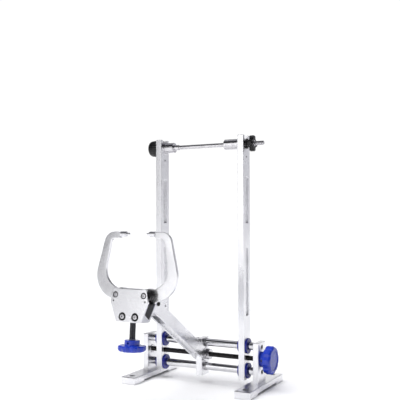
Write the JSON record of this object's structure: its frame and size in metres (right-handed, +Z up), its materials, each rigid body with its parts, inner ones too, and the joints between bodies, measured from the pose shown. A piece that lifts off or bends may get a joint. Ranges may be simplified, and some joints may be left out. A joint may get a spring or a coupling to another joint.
{
  "type": "bicycle wheel truing stand",
  "caption": "Bench stand with two slotted uprights spread by a hand knob and screw, a clamping spindle between them, and a knob-set feeler calliper on a swinging arm.",
  "frame": {"origin": "centre of the four bench holes, on the plane of the feet's undersides", "axes": "+Z up, +X along the rods towards the spread knob, -Y towards the calliper"},
  "size_m": [0.2805, 0.3482, 0.4692],
  "materials": {
    "milled_aluminium": "satin, clear anodised",
    "ground_steel": "ground and chromed",
    "turned_steel": "turned, fine lathe marks",
    "black_steel": "black oxide",
    "black_plastic": "satin moulded",
    "blue_knob": "satin blue",
    "navy_bush": "satin dark blue"
  },
  "bodies": {
    "base": {"left_foot": "milled_aluminium", "right_foot": "milled_aluminium", "left_end_plate": "milled_aluminium", "right_end_plate": "milled_aluminium", "foot_screws": "black_steel", "upper_guide_rod": "ground_steel", "lower_guide_rod": "ground_steel", "rod_screws": "black_steel", "centre_block": "milled_aluminium", "pivot_sleeve": "ground_steel", "rod_rings": "turned_steel", "block_set_screws": "black_steel", "screw_bushes": "turned_steel"},
    "leadscrew": {"lead_screw": "black_steel", "screw_collars": "turned_steel", "collar_set_screws": "black_steel", "spread_knob": "blue_knob", "knob_set_screw": "black_steel"},
    "left_slide": {"left_upright": "milled_aluminium", "left_bushes": "navy_bush", "left_screw_nut": "turned_steel", "left_axle_sleeve": "turned_steel"},
    "right_slide": {"right_upright": "milled_aluminium", "right_bushes": "navy_bush", "right_screw_nut": "turned_steel", "right_axle_sleeve": "turned_steel"},
    "spindle": {"spindle_rod": "ground_steel", "spindle_cap": "black_plastic"},
    "star": {"star_nut": "black_plastic", "star_insert": "turned_steel"},
    "arm": {"arm_channel": "milled_aluminium", "tilt_bolt": "black_steel", "tilt_nut": "turned_steel"},
    "head": {"head_bracket": "milled_aluminium", "bracket_screws": "turned_steel", "tilt_lock_screw": "turned_steel", "rear_plate": "milled_aluminium", "front_plate": "milled_aluminium", "spacer_body": "black_plastic", "screw_block": "milled_aluminium", "pivot_spools": "black_plastic", "jaw_springs": "turned_steel", "jaw_pivot_screws": "turned_steel", "plate_screws": "turned_steel"},
    "wedge": {"wedge": "turned_steel"},
    "adjuster": {"adjuster_screw": "black_steel", "adjuster_knob": "blue_knob"},
    "left_jaw": {"left_jaw": "milled_aluminium", "left_tip": "turned_steel"},
    "right_jaw": {"right_jaw": "milled_aluminium", "right_tip": "turned_steel"}
  },
  "joints": [
    {"name": "leadscrew_spin", "type": "hinge", "parent": "base", "child": "leadscrew", "pos_m": [0, 0, 0.0547], "axis": [1, 0, 0], "range_deg": [-2890, 1225]},
    {"name": "left_spread", "type": "slide", "parent": "base", "child": "left_slide", "axis": [-1, 0, 0], "range_m": [-0.032, 0.0135]},
    {"name": "right_spread", "type": "slide", "parent": "base", "child": "right_slide", "axis": [1, 0, 0], "range_m": [-0.0322, 0.0137]},
    {"name": "spindle_spin", "type": "hinge", "parent": "left_slide", "child": "spindle", "pos_m": [0, 0, 0.453], "axis": [1, 0, 0], "continuous": true},
    {"name": "star_spin", "type": "hinge", "parent": "right_slide", "child": "star", "pos_m": [0.1, 0, 0.453], "axis": [1, 0, 0], "continuous": true},
    {"name": "arm_swing", "type": "hinge", "parent": "base", "child": "arm", "pos_m": [0, 0, 0.0547], "axis": [-1, 0, 0], "range_deg": [-12, 10]},
    {"name": "head_tilt", "type": "hinge", "parent": "arm", "child": "head", "pos_m": [0, -0.18115, 0.1707], "axis": [-1, 0, 0], "range_deg": [-10, 12]},
    {"name": "wedge_slide", "type": "slide", "parent": "head", "child": "wedge", "axis": [0, 0.0785, 0.9969], "range_m": [-0.00167, 0.00375]},
    {"name": "adjuster_spin", "type": "hinge", "parent": "wedge", "child": "adjuster", "pos_m": [0, -0.2424, 0.147], "axis": [0, 0.0785, 0.9969], "range_deg": [-410, 910]},
    {"name": "left_jaw_swing", "type": "hinge", "parent": "head", "child": "left_jaw", "pos_m": [-0.0266, -0.23367, 0.19095], "axis": [0, 0.9969, -0.0785], "range_deg": [-4, 8.6]},
    {"name": "right_jaw_swing", "type": "hinge", "parent": "head", "child": "right_jaw", "pos_m": [0.0266, -0.23367, 0.19095], "axis": [0, -0.9969, 0.0785], "range_deg": [-4, 8.6]}
  ],
  "couplings": [
    {"joint": "leadscrew_spin", "follows": "left_spread", "rad_per_m": 1570.8},
    {"joint": "right_spread", "follows": "left_spread", "ratio": 1},
    {"joint": "adjuster_spin", "follows": "wedge_slide", "rad_per_m": 4188.8},
    {"joint": "left_jaw_swing", "follows": "wedge_slide", "rad_per_m": 38.956},
    {"joint": "right_jaw_swing", "follows": "wedge_slide", "rad_per_m": 38.956}
  ]
}
